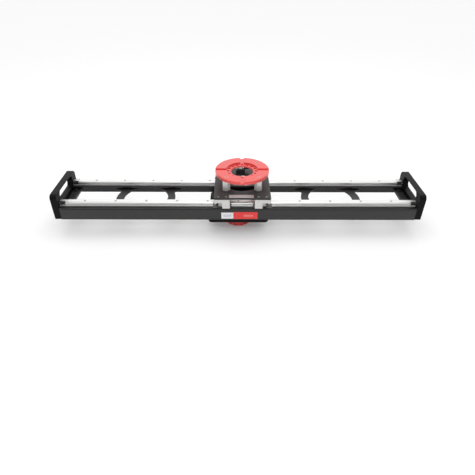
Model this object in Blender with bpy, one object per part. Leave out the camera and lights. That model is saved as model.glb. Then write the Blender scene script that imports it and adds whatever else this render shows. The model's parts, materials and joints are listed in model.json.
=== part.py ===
"""Camera slider: two beams with round-rod rails, a rolling carriage with a round mounting disc, and handles.

Frame: X runs along the rails, Y across them (away from the front), Z is up. The origin is under the
middle of the tie-down nut, the lowest piece. Lengths are in metres.
"""

import math

import bmesh
import bpy

# Driving dimensions
LENGTH = 1.2040  # over the two end plates
HALF_WIDTH = 0.094  # from the middle to a beam's outer face
NUT_DROP = 0.0585  # from the beams' underside down to the nut's underside
GAP = 0.0003  # clearance between pieces that touch
CARRIAGE_X = 0.0123  # where the carriage stands at rest

BEAM_BOTTOM = NUT_DROP
BEAM_HEIGHT = 0.043
BEAM_TOP = BEAM_BOTTOM + BEAM_HEIGHT
FLANGE_INNER = 0.052
FLANGE_THICKNESS = 0.006
WEB_THICKNESS = 0.004
GROOVE_LOW, GROOVE_HIGH = 0.0385, 0.0405  # above the beams' underside
GROOVE_DEPTH = 0.0015

END_THICKNESS = 0.021
END_HEIGHT = 0.0885
END_CORNER = 0.015
END_INNER = LENGTH / 2 - END_THICKNESS
BEAM_END = END_INNER - GAP

SLOT_HALF = 0.062
SLOT_FLOOR = 0.045
SLOT_TOP = 0.0725
SLOT_FLARE = 0.0125

CROSS_WIDTH = 0.0246
CROSS_TOP = 0.031
CROSS_THICKNESS = 0.009

RING_X = 0.317
RING_OUTER = 0.100
RING_INNER = 0.075
RING_THICKNESS = 0.006

RAIL_Y = 0.070
RAIL_TOP = BEAM_BOTTOM + 0.0584
ROD_RADIUS = 0.0045
ROD_OFFSET = 0.0075
ROD_Z = RAIL_TOP - ROD_RADIUS - 0.0005
ROD_END = 0.5623
RAIL_BASE_HALF, RAIL_BASE_THICKNESS = 0.0115, 0.0025
RAIL_FOOT_HALF = 0.0085
RAIL_CAP_HALF = 0.0056

BUMPER_RADIUS = 0.0059
BUMPER_WAIST = 0.0048
BUMPER_RIBS = 3

WHEEL_Y = 0.0903
WHEEL_XS = (0.0445, 0.0865)
WHEEL_RADIUS = 0.0102
WHEEL_ROOT = 0.0062
WHEEL_WIDTH = 0.009
AXLE_RADIUS = 0.0025
COLLAR_RADIUS = 0.0045

PLATE_HALF = (0.091, 0.105)
PLATE_BOTTOM = BEAM_BOTTOM + 0.0824
PLATE_THICKNESS = 0.007
PLATE_TOP = PLATE_BOTTOM + PLATE_THICKNESS
PLATE_HOLE = 0.059

TRUCK_X = (0.040, 0.091)
TRUCK_Y = (0.083, 0.105)
TRUCK_HEIGHT = 0.0113
TAB_X = (0.040, 0.0645)
TAB_THICKNESS = 0.0035
TAB_DROP = 0.0322

DISC_RADIUS = 0.0887
DISC_TOP = BEAM_BOTTOM + 0.1371
DISC_THICKNESS = 0.011
DISC_BOTTOM = DISC_TOP - DISC_THICKNESS
DISC_HOLE = 0.036
RECESS_RADIUS = 0.0525
RECESS_DEPTH = 0.0055
PITCH_RADIUS = 0.0455
PITCH_HOLES = 16
PITCH_HOLE_RADIUS = 0.0040
KEYWAY_WIDTH = 0.0125
KEYWAY_DEPTH = 0.0045
POST_X = 0.0515
STANDOFF_RADIUS = 0.01225

LEVER = (-0.0043, 0.0760)
LEVER_HUB = 0.0160
KNOB_Y = -0.0720
KNOB_Z = BEAM_BOTTOM + 0.0790
KNOB_RADIUS = 0.0080
KNOB_REACH = 0.0070

MOUNT_HALF = (0.099, 0.094)
MOUNT_THICKNESS = 0.010
MOUNT_TOP = BEAM_BOTTOM - GAP
STUD_RADIUS = 0.012
NUT_RADIUS = 0.045
NUT_HEIGHT = 0.0225


def clear_scene():
    for obj in list(bpy.data.objects):
        bpy.data.objects.remove(obj, do_unlink=True)


def finish(name, colour, roughness, metallic):
    """A Principled BSDF material."""
    made = bpy.data.materials.new(name)
    made.use_nodes = True
    shader = made.node_tree.nodes["Principled BSDF"]
    shader.inputs["Base Color"].default_value = (*colour, 1.0)
    shader.inputs["Roughness"].default_value = roughness
    shader.inputs["Metallic"].default_value = metallic
    made.diffuse_color = (*colour, 1.0)
    return made


def make_finishes():
    return {
        "black": finish("black_anodised", (0.030, 0.030, 0.031), 0.42, 0.6),
        "dark": finish("dark_anodised", (0.060, 0.058, 0.060), 0.40, 0.6),
        "silver": finish("silver_anodised", (0.72, 0.71, 0.70), 0.35, 0.9),
        "steel": finish("polished_steel", (0.80, 0.80, 0.79), 0.18, 1.0),
        "red": finish("red_anodised", (0.62, 0.035, 0.032), 0.38, 0.5),
        "rubber": finish("black_rubber", (0.020, 0.020, 0.020), 0.80, 0.0),
        "nylon": finish("white_nylon", (0.82, 0.82, 0.80), 0.45, 0.0),
        "white": finish("white_badge", (0.85, 0.85, 0.87), 0.35, 0.0),
        "plastic": finish("black_plastic", (0.022, 0.022, 0.023), 0.50, 0.0),
    }


def along(axis, u, v, w):
    """The point w along the axis and (u, v) across it, in X, Y, Z order."""
    return {"X": (w, u, v), "Y": (u, w, v), "Z": (u, v, w)}[axis]


def circle(radius, count, centre=(0.0, 0.0)):
    turns = [2 * math.pi * i / count for i in range(count)]
    return [(centre[0] + radius * math.cos(a), centre[1] + radius * math.sin(a)) for a in turns]


def arc(centre, radius, start, end, steps):
    """Points on an arc; the angles are in degrees."""
    turns = [math.radians(start + (end - start) * i / steps) for i in range(steps + 1)]
    return [(centre[0] + radius * math.cos(a), centre[1] + radius * math.sin(a)) for a in turns]


def rounded_rectangle(half_u, half_v, corner, steps):
    """An outline about the middle, with the same arc at each corner."""
    outline = []
    for turn, (u, v) in enumerate(((1, -1), (1, 1), (-1, 1), (-1, -1))):
        centre = (u * (half_u - corner), v * (half_v - corner))
        outline += arc(centre, corner, 90 * turn - 90, 90 * turn, steps)
    return outline


def loft(rings):
    """A closed skin through rings of equal numbers of points, with flat ends."""
    bm = bmesh.new()
    rows = [[bm.verts.new(point) for point in ring] for ring in rings]
    for low, high in zip(rows, rows[1:]):
        for i in range(len(low)):
            j = (i + 1) % len(low)
            bm.faces.new((low[i], low[j], high[j], high[i]))
    bm.faces.new(rows[0])
    bm.faces.new(rows[-1])
    return bm


def prism(outline, low, high, axis="Z"):
    """The outline, given across the axis, extruded from low to high."""
    return loft([[along(axis, u, v, w) for u, v in outline] for w in (low, high)])


def box(low, high):
    outline = [(low[0], low[1]), (high[0], low[1]), (high[0], high[1]), (low[0], high[1])]
    return prism(outline, low[2], high[2])


def turned(profile, count, axis="Z"):
    """A solid of revolution; the profile is (radius, height) from one end to the other."""
    return loft([[along(axis, u, v, height) for u, v in circle(radius, count)] for radius, height in profile])


def turned_ring(profile, count):
    """A ring of revolution about an open bore along Z; the profile is a closed loop of (radius, height)."""
    bm = bmesh.new()
    rows = [[bm.verts.new((u, v, height)) for u, v in circle(radius, count)] for radius, height in profile]
    for low, high in zip(rows, rows[1:] + rows[:1]):
        for i in range(count):
            j = (i + 1) % count
            bm.faces.new((low[i], low[j], high[j], high[i]))
    return bm


def mesh_of(name, bm, colour, smooth=False):
    """Turns the bmesh into a mesh with its finish, its faces pointing out."""
    bmesh.ops.recalc_face_normals(bm, faces=bm.faces)
    mesh = bpy.data.meshes.new(name)
    bm.to_mesh(mesh)
    bm.free()
    if smooth:
        mesh.shade_smooth()
        mesh.set_sharp_from_angle(angle=math.radians(35))
    if colour:
        mesh.materials.append(colour)
    return mesh


def add(name, bm, colour, at=(0.0, 0.0, 0.0), parent=None, smooth=False):
    return place(name, mesh_of(name, bm, colour, smooth), at, parent)


def place(name, mesh, at, parent):
    obj = bpy.data.objects.new(name, mesh)
    bpy.context.scene.collection.objects.link(obj)
    obj.location = at
    obj.parent = parent
    return obj


def frame_empty(name, at):
    """An empty that a moving group hangs from."""
    return place(name, None, at, None)


def boolean(obj, name, bm, operation="DIFFERENCE"):
    """Cuts the bmesh from the object, or joins it on, with a hidden helper."""
    helper = add(f"{obj.name}_{name}", bm, None, obj.location, obj.parent)
    helper.hide_render = True
    helper.display_type = "WIRE"
    modifier = obj.modifiers.new(name, "BOOLEAN")
    modifier.object = helper
    modifier.operation = operation


def soften(obj, width, angle=40, segments=1):
    """Breaks the sharp edges."""
    modifier = obj.modifiers.new("edges", "BEVEL")
    modifier.width = width
    modifier.segments = segments
    modifier.limit_method = "ANGLE"
    modifier.angle_limit = math.radians(angle)


def moved(bm, x, y, z):
    bmesh.ops.translate(bm, vec=(x, y, z), verts=bm.verts)
    return bm


# The base: beams, rails, ends, rings and the mounting plate


def beam(name, side, colour):
    """An angle with a wide top flange, a thin outer web and a groove along the web's top."""
    outer, inner = HALF_WIDTH, FLANGE_INNER
    web, flange = outer - WEB_THICKNESS, BEAM_HEIGHT - FLANGE_THICKNESS
    floor = outer - GROOVE_DEPTH
    groove = ((outer, GROOVE_LOW), (floor, GROOVE_LOW), (floor, GROOVE_HIGH), (outer, GROOVE_HIGH))
    outline = [(web, 0.0), (outer, 0.0), *groove, (outer, BEAM_HEIGHT), (inner, BEAM_HEIGHT)]
    outline += [(inner, flange), (web, flange)]
    outline = [(side * y, BEAM_BOTTOM + z) for y, z in outline]
    add(name, prism(outline, -BEAM_END, BEAM_END, "X"), colour)


def rail_outline(side):
    """The rail body: a thin base, a narrow foot, a cradle for a rod on each side and a flat cap."""
    cradle = ROD_RADIUS + GAP
    foot = math.acos((RAIL_FOOT_HALF - ROD_OFFSET) / cradle)
    cap = math.acos((RAIL_CAP_HALF - ROD_OFFSET) / cradle)
    rise = ROD_Z - BEAM_TOP
    half = [(RAIL_BASE_HALF, GAP), (RAIL_BASE_HALF, RAIL_BASE_THICKNESS), (RAIL_FOOT_HALF, RAIL_BASE_THICKNESS)]
    half += arc((ROD_OFFSET, rise), cradle, -math.degrees(foot), math.degrees(cap) - 360, 8)
    half += [(RAIL_CAP_HALF, RAIL_TOP - BEAM_TOP)]
    outline = half + [(-y, z) for y, z in reversed(half)]
    return [(side * RAIL_Y + y, BEAM_TOP + z) for y, z in outline]


def rail(name, side, colour):
    """The rail body, with each end turned out for the bumpers."""
    body = add(name, prism(rail_outline(side), -BEAM_END, BEAM_END, "X"), colour, smooth=True)
    start = ROD_END - GAP
    for end in (-1, 1):
        for rod in (-1, 1):
            centre = (side * RAIL_Y + rod * ROD_OFFSET, ROD_Z)
            outline = circle(BUMPER_RADIUS + GAP, 16, centre)
            cutter = prism(outline, *sorted((end * start, end * (BEAM_END + 0.01))), "X")
            boolean(body, f"bumper_room_{end + 1}_{rod + 1}", cutter)


def rod(name, y, colour):
    profile = [(ROD_RADIUS - 0.0005, -ROD_END), (ROD_RADIUS, -ROD_END + 0.0005)]
    profile += [(radius, -height) for radius, height in reversed(profile)]
    add(name, turned(profile, 20, "X"), colour, (0.0, y, ROD_Z), smooth=True)


def bumper_mesh(colour):
    """A ribbed rubber buffer that caps a rod."""
    length = BEAM_END - ROD_END - 2 * GAP
    step = length / (2 * BUMPER_RIBS - 1)
    profile = []
    for i in range(2 * BUMPER_RIBS - 1):
        radius = BUMPER_WAIST if i % 2 else BUMPER_RADIUS
        profile += [(radius, (i + 0.12) * step), (radius, (i + 0.88) * step)]
    return mesh_of("bumper", turned(profile, 12, "X"), colour)


def bumpers(colour):
    mesh = bumper_mesh(colour)
    for end, end_name in ((-1, "left"), (1, "right")):
        for side, side_name in ((-1, "front"), (1, "rear")):
            for rod_side, rod_name in ((-1, "inner"), (1, "outer")):
                y = side * (RAIL_Y + rod_side * ROD_OFFSET)
                name = f"bumper_{side_name}_{rod_name}_{end_name}"
                obj = place(name, mesh, (end * (ROD_END + GAP), y, ROD_Z), None)
                obj.rotation_euler = (0.0, 0.0, 0.0 if end > 0 else math.pi)


def end_outline():
    """The end plate seen along the rails: square below, round shoulders above."""
    width, top, corner = HALF_WIDTH, END_HEIGHT, END_CORNER
    foot = 0.004
    outline = arc((width - foot, foot), foot, -90, 0, 2)
    outline += arc((width - corner, top - corner), corner, 0, 90, 6)
    outline += arc((corner - width, top - corner), corner, 90, 180, 6)
    outline += arc((foot - width, foot), foot, 180, 270, 2)
    return [(y, BEAM_BOTTOM + z) for y, z in outline]


def slot_ring(x, top):
    """The handle slot's outline at this x, its floor fixed and its top as given."""
    radius = (SLOT_TOP - SLOT_FLOOR) / 2
    middle = SLOT_FLOOR + radius
    outline = arc((SLOT_HALF - radius, middle), radius, -90, 90, 6)
    outline += arc((radius - SLOT_HALF, middle), radius, 90, 270, 6)
    stretch = (top - SLOT_FLOOR) / (SLOT_TOP - SLOT_FLOOR)
    return [(x, y, BEAM_BOTTOM + SLOT_FLOOR + (z - SLOT_FLOOR) * stretch) for y, z in outline]


def end_plate(name, side, colour):
    """A thick plate whose upper part is a carrying handle; the grip thins towards the rails."""
    outer, inner = LENGTH / 2, END_INNER
    plate = prism(end_outline(), *sorted((side * inner, side * outer)), "X")
    plate = add(name, plate, colour)
    throat = outer - SLOT_FLARE + 0.003
    past = inner - 0.002
    reach = SLOT_TOP + SLOT_FLARE * (throat - past) / (throat - inner)
    rings = [(outer + 0.002, SLOT_TOP), (throat, SLOT_TOP), (past, reach)]
    boolean(plate, "handle_slot", loft([slot_ring(side * x, top) for x, top in rings]))
    soften(plate, 0.0012, 50)


def cross_plate(name, side, colour):
    """Ties the beams together just inside the end plate, under their flanges."""
    reach = HALF_WIDTH - WEB_THICKNESS - GAP
    inner = END_INNER - CROSS_WIDTH
    low_x, high_x = sorted((side * inner, side * (END_INNER - GAP)))
    top = BEAM_BOTTOM + CROSS_TOP
    add(name, box((low_x, -reach, top - CROSS_THICKNESS), (high_x, reach, top)), colour)


def ring_outline():
    """The bowl ring's outer edge: a circle that flares out where it meets the beams."""
    reach = HALF_WIDTH - WEB_THICKNESS - GAP
    steps = 20
    right = []
    for i in range(steps + 1):
        y = -reach + 2 * reach * i / steps
        flare = max(0.0, min(1.0, (abs(y) - 0.036) / 0.020))
        right.append((math.sqrt(RING_OUTER**2 - y * y) + 0.034 * flare**2, y))
    return right + [(-x, y) for x, y in reversed(right)]


def bowl_ring(name, x, colour):
    """A flat ring between the beams that takes a tripod bowl."""
    top = CROSS_TOP + BEAM_BOTTOM
    ring = moved(prism(ring_outline(), top - RING_THICKNESS, top), x, 0.0, 0.0)
    ring = add(name, ring, colour)
    profile = [(RING_INNER, top - RING_THICKNESS - 0.002), (RING_INNER, top - 0.0015)]
    profile += [(RING_INNER + 0.0025, top + 0.001)]
    boolean(ring, "bowl_hole", moved(turned(profile, 48), x, 0.0, 0.0))


def mount_plate(name, colour):
    """The plate under the beams that the slider is fastened by."""
    outline = rounded_rectangle(*MOUNT_HALF, 0.012, 3)
    plate = add(name, prism(outline, MOUNT_TOP - MOUNT_THICKNESS, MOUNT_TOP), colour)
    bore = turned([(STUD_RADIUS + GAP, MOUNT_TOP - 0.02), (STUD_RADIUS + GAP, MOUNT_TOP + 0.01)], 24)
    boolean(plate, "stud_bore", bore)
    soften(plate, 0.0010, 50)


def mount_stud(name, colour):
    """The threaded stud: a flat head on the plate and a shank down through the nut."""
    head = MOUNT_TOP + GAP
    profile = [(STUD_RADIUS - 0.002, 0.004), (STUD_RADIUS, 0.006), (STUD_RADIUS, head)]
    profile += [(0.024, head), (0.024, head + 0.005), (0.022, head + 0.007)]
    add(name, turned(profile, 24), colour, smooth=True)


def tie_down_nut(name, colour):
    """A round nut with finger scallops, turned by hand."""
    count = 12
    outline = []
    for i in range(count * 6):
        angle = 2 * math.pi * i / (count * 6)
        dip = max(0.0, math.cos(count * angle)) ** 2
        radius = NUT_RADIUS - 0.0022 * dip
        outline.append((radius * math.cos(angle), radius * math.sin(angle)))
    inset = [(x * 0.965, y * 0.965) for x, y in outline]
    levels = ((inset, 0.0), (outline, 0.0018), (outline, NUT_HEIGHT - 0.0018), (inset, NUT_HEIGHT))
    nut = add(name, loft([[(x, y, z) for x, y in ring] for ring, z in levels]), colour)
    bore = turned([(STUD_RADIUS + GAP, -0.005), (STUD_RADIUS + GAP, NUT_HEIGHT + 0.005)], 24)
    boolean(nut, "thread_bore", bore)


def badge(name, low, high, colour):
    """A thin blank plate on the front beam's face."""
    face = -HALF_WIDTH - GAP
    add(name, box((low[0], face - 0.0008, BEAM_BOTTOM + low[1]), (high[0], face, BEAM_BOTTOM + high[1])), colour)


# The carriage, modelled about its own middle


def carriage_plate(parent, colour):
    outline = rounded_rectangle(*PLATE_HALF, 0.004, 2)
    plate = add("carriage_plate", prism(outline, PLATE_BOTTOM, PLATE_TOP), colour, parent=parent)
    low, high = PLATE_BOTTOM - 0.005, PLATE_TOP + 0.005
    boolean(plate, "middle_hole", turned([(PLATE_HOLE, low), (PLATE_HOLE, high)], 48))
    boolean(plate, "brake_hole", prism(circle(0.0045, 16, LEVER), low, high))


def truck(name, side_x, side_y, parent, colour):
    """A bar that holds two axles, with a guard hanging in front of the inner wheel."""
    top = PLATE_BOTTOM - GAP
    low = (TRUCK_X[0], TRUCK_Y[0], top - TRUCK_HEIGHT)
    bar = box(low, (TRUCK_X[1], TRUCK_Y[1], top))
    guard_low = (TAB_X[0], TRUCK_Y[1] - TAB_THICKNESS, PLATE_BOTTOM - TAB_DROP)
    guard = box(guard_low, (TAB_X[1], TRUCK_Y[1], top - TRUCK_HEIGHT / 2))
    for bm in (bar, guard):
        bmesh.ops.scale(bm, vec=(side_x, side_y, 1.0), verts=bm.verts)
    body = add(name, bar, colour, parent=parent)
    boolean(body, "guard", guard, "UNION")
    for x in WHEEL_XS:
        outline = circle(AXLE_RADIUS + GAP, 12, (side_x * x, side_y * WHEEL_Y))
        boolean(body, f"axle_hole_{round(x * 1e4)}", prism(outline, top - 0.02, top + 0.005))


def wheel_mesh(colour):
    """A V-groove wheel that runs on the side of a rod."""
    half, lip = WHEEL_WIDTH / 2, 0.0003
    bore = AXLE_RADIUS + GAP
    profile = [(bore, -half), (WHEEL_RADIUS, -half), (WHEEL_RADIUS, lip - half), (WHEEL_ROOT, -0.0002)]
    profile += [(radius, -height) for radius, height in reversed(profile)]
    return mesh_of("wheel", turned_ring(profile, 20), colour, smooth=True)


def axle_mesh(colour):
    """A shoulder bolt: its head under the wheel, its collar between the wheel and the truck."""
    half = WHEEL_WIDTH / 2 + GAP
    truck_bottom = PLATE_BOTTOM - GAP - TRUCK_HEIGHT - ROD_Z
    profile = [(0.0036, -half - 0.0035), (0.0042, -half - 0.0029), (0.0042, -half)]
    profile += [(AXLE_RADIUS, -half), (AXLE_RADIUS, half), (COLLAR_RADIUS, half)]
    profile += [(COLLAR_RADIUS, truck_bottom - GAP), (AXLE_RADIUS, truck_bottom - GAP)]
    profile += [(AXLE_RADIUS, truck_bottom + TRUCK_HEIGHT - 0.001)]
    return mesh_of("axle", turned(profile, 10), colour, smooth=True)


def wheels(parent, wheel_colour, axle_colour):
    wheel, axle = wheel_mesh(wheel_colour), axle_mesh(axle_colour)
    for side_y, side_name in ((-1, "front"), (1, "rear")):
        spots = [-WHEEL_XS[1], -WHEEL_XS[0], WHEEL_XS[0], WHEEL_XS[1]]
        for number, x in enumerate(spots, 1):
            spot = (x, side_y * WHEEL_Y, ROD_Z)
            place(f"wheel_{side_name}_{number}", wheel, spot, parent)
            place(f"axle_{side_name}_{number}", axle, spot, parent)


def standoffs(parent, colour):
    """Four pillars that carry the disc."""
    low, high = PLATE_TOP + GAP, DISC_BOTTOM - GAP
    radius = STANDOFF_RADIUS
    profile = [(radius - 0.0008, low), (radius, low + 0.0008), (radius, high - 0.0008), (radius - 0.0008, high)]
    mesh = None
    for x, side in ((-POST_X, "left"), (POST_X, "right")):
        for y, end in ((-POST_X, "front"), (POST_X, "rear")):
            name = f"standoff_{end}_{side}"
            if mesh is None:
                mesh = add(name, turned(profile, 20), colour, (x, y, 0.0), parent, smooth=True).data
            else:
                place(name, mesh, (x, y, 0.0), parent)


def disc_cutters():
    """The cuts in the disc, by name."""
    floor = DISC_TOP - RECESS_DEPTH
    above, below = DISC_TOP + 0.004, DISC_BOTTOM - 0.004
    cuts = {"recess": turned([(RECESS_RADIUS, floor), (RECESS_RADIUS, above)], 48)}
    cuts["hole"] = turned([(DISC_HOLE, below), (DISC_HOLE, floor - 0.0015), (DISC_HOLE + 0.003, floor + 0.0015)], 48)
    for i in range(PITCH_HOLES):
        angle = 2 * math.pi * i / PITCH_HOLES
        centre = (PITCH_RADIUS * math.cos(angle), PITCH_RADIUS * math.sin(angle))
        cuts[f"pitch_{i}"] = prism(circle(PITCH_HOLE_RADIUS, 10, centre), below, floor + 0.002)
    half, reach = KEYWAY_WIDTH / 2, DISC_RADIUS + 0.01
    for name, (x, y) in {"east": (1, 0), "north": (0, 1), "west": (-1, 0), "south": (0, -1)}.items():
        start = RECESS_RADIUS - 0.006
        corners = [(start * x - half * y, start * y - half * x), (reach * x + half * y, reach * y + half * x)]
        low, high = [tuple(pick(a, b) for a, b in zip(*corners)) for pick in (min, max)]
        cuts[f"keyway_{name}"] = box((*low, DISC_TOP - KEYWAY_DEPTH), (*high, above))
    return cuts


def top_mount_disc(parent, colour):
    """The round head plate: stepped recess, ring of pin holes and four keyways."""
    radius, low, high = DISC_RADIUS, DISC_BOTTOM, DISC_TOP
    profile = [(radius - 0.001, low), (radius, low + 0.001), (radius, high - 0.001), (radius - 0.001, high)]
    disc = add("top_mount_disc", turned(profile, 64), colour, parent=parent)
    for name, cutter in disc_cutters().items():
        boolean(disc, name, cutter)


def name_plate(parent, colour):
    low = (-0.0426, -PLATE_HALF[1] + 0.0005, PLATE_TOP + GAP)
    high = (0.0363, -PLATE_HALF[1] + 0.0180, PLATE_TOP + 0.0015)
    add("name_plate", box(low, high), colour, parent=parent)


def brake_lever(parent, colour):
    """A clamping lever: a round hub on its screw, and an arm that ends in a ball."""
    low = PLATE_TOP + GAP
    hub = LEVER_HUB
    profile = [(0.0040, RAIL_TOP + 0.0060), (0.0040, low), (hub, low), (hub, low + 0.009)]
    profile += [(hub - 0.004, low + 0.013), (0.004, low + 0.0145)]
    lever = add("brake_lever", turned(profile, 24), colour, (*LEVER, 0.0), parent, smooth=True)
    rings = []
    for reach, half, rise in ((0.006, 0.0050, 0.008), (0.016, 0.0042, 0.0095), (0.0235, 0.0035, 0.0125)):
        ring = circle(half, 12)
        rings.append([(reach, u, low + rise + v * 0.8) for u, v in ring])
    boolean(lever, "arm", loft(rings), "UNION")
    ball = bmesh.new()
    bmesh.ops.create_uvsphere(ball, u_segments=12, v_segments=8, radius=0.0055)
    boolean(lever, "ball", moved(ball, 0.0250, 0.0, low + 0.0125), "UNION")
    lever.rotation_euler = (0.0, 0.0, math.radians(20))
    for helper in ("arm", "ball"):
        bpy.data.objects[f"brake_lever_{helper}"].rotation_euler = lever.rotation_euler


def brake_pad(parent, colour):
    """The shoe that the lever's screw presses on the rear rail."""
    low, high = RAIL_TOP + GAP, RAIL_TOP + 0.0095
    pad = add("brake_pad", box((-0.013, -0.0130, low), (0.013, 0.0065, high)), colour, (*LEVER, 0.0), parent)
    socket = turned([(0.0047, RAIL_TOP + 0.0057), (0.0047, high + 0.003)], 16)
    boolean(pad, "screw_socket", socket)


def drag_block(parent, colour):
    """The housing under the plate that holds the drag screw and guides its shoe."""
    high = PLATE_BOTTOM - GAP
    low = BEAM_BOTTOM + 0.0680
    y = KNOB_Y
    block = add("drag_block", box((-0.0905, y - 0.009, low), (-0.0660, y + 0.009, high)), colour, parent=parent)
    boolean(block, "screw_bore", moved(prism(circle(0.0033, 12), -0.0950, -0.0745, "X"), 0.0, y, KNOB_Z))
    boolean(block, "shoe_bore", prism(circle(0.0034, 12, (-0.0695 - 0.009, y)), low - 0.003, low + 0.0065))


def drag_knob(parent, colour):
    """A thumb screw with a knurled head, on the carriage's left side."""
    count = 16
    outline = []
    for i in range(count * 2):
        radius = KNOB_RADIUS - (0.0007 if i % 2 else 0.0)
        angle = math.pi * i / count
        outline.append((radius * math.cos(angle), radius * math.sin(angle)))
    start = -PLATE_HALF[0] - GAP
    levels = ((0.93, start), (1.0, start - 0.0008), (1.0, start - KNOB_REACH + 0.001), (0.90, start - KNOB_REACH))
    rings = [[(x, u * k, v * k) for u, v in outline] for k, x in levels]
    knob = add("drag_knob", loft(rings), colour, (0.0, KNOB_Y, KNOB_Z), parent)
    boolean(knob, "screw", prism(circle(0.0030, 12), start - 0.003, -0.0750, "X"), "UNION")


def drag_pad(parent, colour):
    """The shoe that rubs on the front rail, with its stem up in the drag block."""
    x, y = -0.0785, KNOB_Y
    low, shoulder = RAIL_TOP + GAP, BEAM_BOTTOM + 0.0665
    pad = add("drag_pad", box((-0.010, -0.006, low), (0.010, 0.006, shoulder)), colour, (x, y, 0.0), parent)
    stem = turned([(0.0030, shoulder - 0.003), (0.0030, shoulder + 0.0060)], 12)
    boolean(pad, "stem", stem, "UNION")


def build_base(colours):
    for side, name in ((-1, "front"), (1, "rear")):
        beam(f"{name}_beam", side, colours["black"])
        rail(f"{name}_rail_body", side, colours["silver"])
        rod(f"{name}_outer_rod", side * (RAIL_Y + ROD_OFFSET), colours["steel"])
        rod(f"{name}_inner_rod", side * (RAIL_Y - ROD_OFFSET), colours["steel"])
    for side, name in ((-1, "left"), (1, "right")):
        end_plate(f"{name}_end_plate", side, colours["black"])
        cross_plate(f"{name}_cross_plate", side, colours["dark"])
        bowl_ring(f"{name}_bowl_ring", side * RING_X, colours["dark"])
    bumpers(colours["rubber"])
    mount_plate("centre_mount_plate", colours["black"])
    mount_stud("mount_stud", colours["steel"])
    tie_down_nut("tie_down_nut", colours["red"])
    badge("badge_white", (-0.0559, 0.0050), (-0.0165, 0.0285), colours["white"])
    badge("badge_red", (-0.0161, 0.0040), (0.0629, 0.0305), colours["red"])


def build_carriage(colours):
    carriage = frame_empty("carriage_frame", (CARRIAGE_X, 0.0, 0.0))
    carriage_plate(carriage, colours["dark"])
    for side_y, end in ((-1, "front"), (1, "rear")):
        for side_x, side in ((-1, "left"), (1, "right")):
            truck(f"truck_{end}_{side}", side_x, side_y, carriage, colours["silver"])
    wheels(carriage, colours["nylon"], colours["steel"])
    standoffs(carriage, colours["silver"])
    top_mount_disc(carriage, colours["red"])
    name_plate(carriage, colours["silver"])
    brake_lever(carriage, colours["plastic"])
    brake_pad(carriage, colours["rubber"])
    drag_block(carriage, colours["black"])
    drag_knob(carriage, colours["plastic"])
    drag_pad(carriage, colours["rubber"])


def main():
    clear_scene()
    colours = make_finishes()
    build_base(colours)
    build_carriage(colours)


main()
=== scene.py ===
"""Looks of the camera slider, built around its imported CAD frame.

Frame: X runs along the rails, Y across them (away from the front), Z is up, in metres. The slider stands on
its tie-down nut at Z = 0. A piece takes its place from the CAD node that it stands for or sits on.
"""

import json
import math

import bmesh
import bpy
from mathutils import Matrix, Vector

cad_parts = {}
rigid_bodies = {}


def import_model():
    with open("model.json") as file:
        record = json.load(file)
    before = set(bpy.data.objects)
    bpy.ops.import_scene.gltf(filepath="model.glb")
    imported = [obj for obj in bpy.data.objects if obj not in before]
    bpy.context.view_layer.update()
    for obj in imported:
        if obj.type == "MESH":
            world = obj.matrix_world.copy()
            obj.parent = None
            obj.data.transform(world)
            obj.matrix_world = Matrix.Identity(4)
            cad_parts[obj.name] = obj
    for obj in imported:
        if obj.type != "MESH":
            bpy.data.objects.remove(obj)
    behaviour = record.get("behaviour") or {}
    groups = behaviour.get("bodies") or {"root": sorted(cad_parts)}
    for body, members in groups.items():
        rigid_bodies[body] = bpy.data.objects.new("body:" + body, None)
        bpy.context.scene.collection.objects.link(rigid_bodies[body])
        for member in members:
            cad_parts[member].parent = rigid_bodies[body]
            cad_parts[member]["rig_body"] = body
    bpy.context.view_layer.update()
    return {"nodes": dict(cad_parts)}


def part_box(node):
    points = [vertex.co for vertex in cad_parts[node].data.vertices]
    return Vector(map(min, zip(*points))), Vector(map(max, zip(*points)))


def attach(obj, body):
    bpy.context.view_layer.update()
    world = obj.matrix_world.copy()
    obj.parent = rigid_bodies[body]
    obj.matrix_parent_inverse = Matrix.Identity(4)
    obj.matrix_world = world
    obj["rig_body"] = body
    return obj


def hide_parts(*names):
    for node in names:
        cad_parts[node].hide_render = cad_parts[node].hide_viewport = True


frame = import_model()

SIDES = ((-1, "front"), (1, "rear"))
ENDS = ((-1, "left"), (1, "right"))
UP, DOWN = (0, 0, 1), (0, 0, -1)
GAP = 0.0003  # clearance between pieces that touch
COPY_TURN = 0.71  # radians from one copy of a screw to the next

# Camera
CAMERA_PLACE = (-0.01070, -1.23020, 0.80679)
CAMERA_DOWN, CAMERA_YAW, CAMERA_ROLL = 0.62528, 0.00726, 0.00593
CAMERA_LENS = 31.21

# Surround: darker in front and below, brighter behind and above
SKY_LEAN = (0.0, 0.55, 0.80)
SKY_RANGE = (-0.35, 0.75, 0.12, 1.15)

# Beam section, heights from its underside
WEB_THICKNESS = 0.004
FLANGE_THICKNESS = 0.006
GROOVE_LOW, GROOVE_HIGH, GROOVE_DEPTH = 0.0385, 0.0405, 0.0015

# Rails
RAIL_BASE_HALF, RAIL_BASE_THICKNESS = 0.0115, 0.0025
RAIL_FOOT_HALF = 0.0085
RAIL_CAP_HALF = 0.0056
RAIL_SCREW_PITCH = 0.100
RAIL_SCREWS = 11
COUNTERBORE = 0.0036

# End plates, heights from the beams' underside
END_CORNER = 0.015
SLOT_HALF, SLOT_FLOOR, SLOT_TOP, SLOT_FLARE = 0.062, 0.045, 0.0725, 0.0125

# Rings and plates
RING_HOLE = 0.075
PLATE_HOLE = 0.059

# Head plate
DISC_HOLE = 0.036
RECESS_RADIUS, RECESS_DEPTH = 0.0525, 0.0055
PITCH_RADIUS, PITCH_HOLES, PITCH_HOLE_RADIUS = 0.0455, 16, 0.0040
KEYWAY_WIDTH, KEYWAY_DEPTH = 0.0125, 0.0045

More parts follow.
